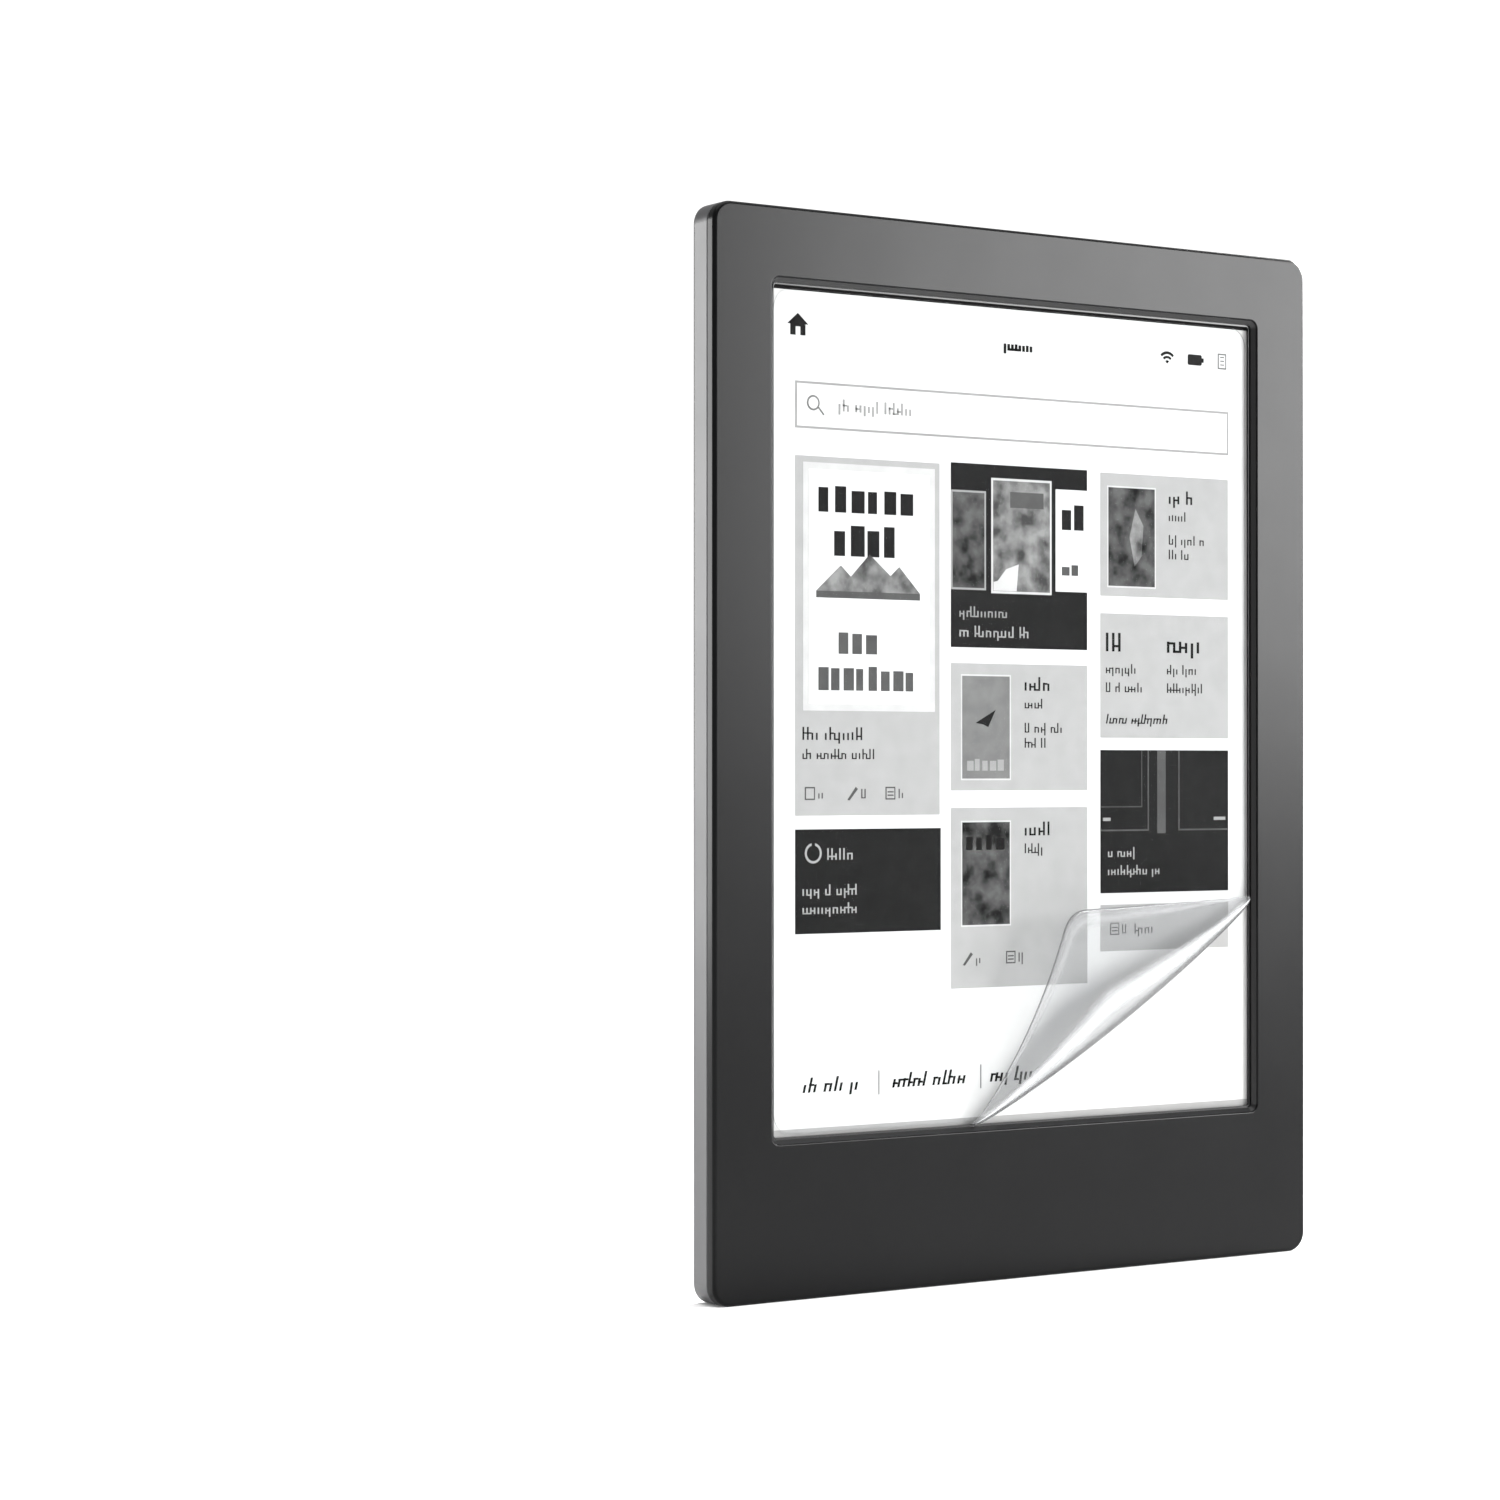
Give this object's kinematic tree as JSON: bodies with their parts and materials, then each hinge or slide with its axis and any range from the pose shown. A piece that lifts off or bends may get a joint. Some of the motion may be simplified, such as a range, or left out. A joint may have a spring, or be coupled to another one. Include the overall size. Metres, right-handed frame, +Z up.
{
  "type": "e-reader",
  "caption": "Slim tablet-shaped electronic book reader with a paper-like display, a faceted back and a clear protective film that is half peeled at one corner.",
  "frame": {"origin": "middle of the bottom edge face, halfway through the thickness; the device stands on its bottom edge", "axes": "+Z up along the height, -Y out of the display, +X to the right as the reader sees the display"},
  "size_m": [0.113, 0.0139, 0.1593],
  "materials": {
    "bezel_plastic": "satin, very fine grain",
    "cover_plastic": "satin, soft fine grain",
    "button_plastic": "satin",
    "clear_film": "clear, glossy",
    "clear_acrylic": "clear",
    "display_face": "clear sheet laminated over a paper-like page, anti-glare satin",
    "display_glass": "grey glass, satin",
    "black_foam": "matt",
    "chip_black": "matt",
    "amber_flex": "satin",
    "white_flex": "satin",
    "lamp_yellow": "gloss",
    "chassis_metal": "brushed",
    "screw_steel": "plated",
    "green_board": "solder mask gloss",
    "plated_steel": "plated, bright",
    "ceramic_chip": "matt",
    "ivory_plastic": "matt",
    "lead_sleeve": "satin",
    "cell_foil": "matt foil",
    "black_plastic": "satin",
    "gold_contact": "plated, bright"
  },
  "bodies": {
    "root": {"front_bezel": "bezel_plastic", "rear_cover": "cover_plastic", "screen_gasket": "black_foam", "touch_sensor": "display_face", "light_guide": "clear_acrylic", "epaper_panel": "display_glass", "display_drivers": "chip_black", "display_flex": "amber_flex", "touch_flex": "amber_flex", "light_strip": "white_flex", "light_lamps": "lamp_yellow", "chassis": "chassis_metal", "chassis_screws": "screw_steel", "main_board": "green_board", "board_screws": "screw_steel", "processor": "chip_black", "memory_chip": "chip_black", "shield_can": "plated_steel", "power_chip": "chip_black", "power_coils": "chip_black", "wifi_module": "plated_steel", "wifi_antenna": "ceramic_chip", "card_socket": "plated_steel", "memory_card": "chip_black", "cover_sensor": "chip_black", "crystal": "plated_steel", "board_passives": "ceramic_chip", "display_connector": "ivory_plastic", "touch_connector": "ivory_plastic", "light_connector": "ivory_plastic", "power_connector": "ivory_plastic", "battery_socket": "ivory_plastic", "battery_plug": "ivory_plastic", "battery_leads": "lead_sleeve", "battery_board": "green_board", "battery_cell": "cell_foil", "battery_tape": "white_flex", "battery_foam": "black_foam", "port_shell": "plated_steel", "port_body": "black_plastic", "port_contacts": "gold_contact", "power_switch": "black_plastic", "power_board": "green_board", "power_flex": "amber_flex", "status_lamp": "lamp_yellow", "light_pipe": "clear_acrylic", "reset_switch": "black_plastic"},
    "film": {"screen_film": "clear_film"},
    "power_button_body": {"power_button": "button_plastic"},
    "power_plunger_body": {"power_plunger": "ivory_plastic"},
    "reset_plunger_body": {"reset_plunger": "ivory_plastic"}
  },
  "joints": [
    {"name": "film_lift", "type": "slide", "parent": "root", "child": "film", "axis": [0, -1, 0], "range_m": [0, 0.03]},
    {"name": "power_press", "type": "slide", "parent": "root", "child": "power_button_body", "axis": [0, 0, -1], "range_m": [0, 0.0003], "stiffness_N_per_m": 1500},
    {"name": "power_switch_press", "type": "slide", "parent": "root", "child": "power_plunger_body", "axis": [0, 0, -1], "range_m": [0, 0.0003]},
    {"name": "reset_press", "type": "slide", "parent": "root", "child": "reset_plunger_body", "axis": [0, 0, 1], "range_m": [0, 0.00025], "stiffness_N_per_m": 1500}
  ],
  "couplings": [
    {"joint": "power_switch_press", "follows": "power_press", "ratio": 1}
  ]
}
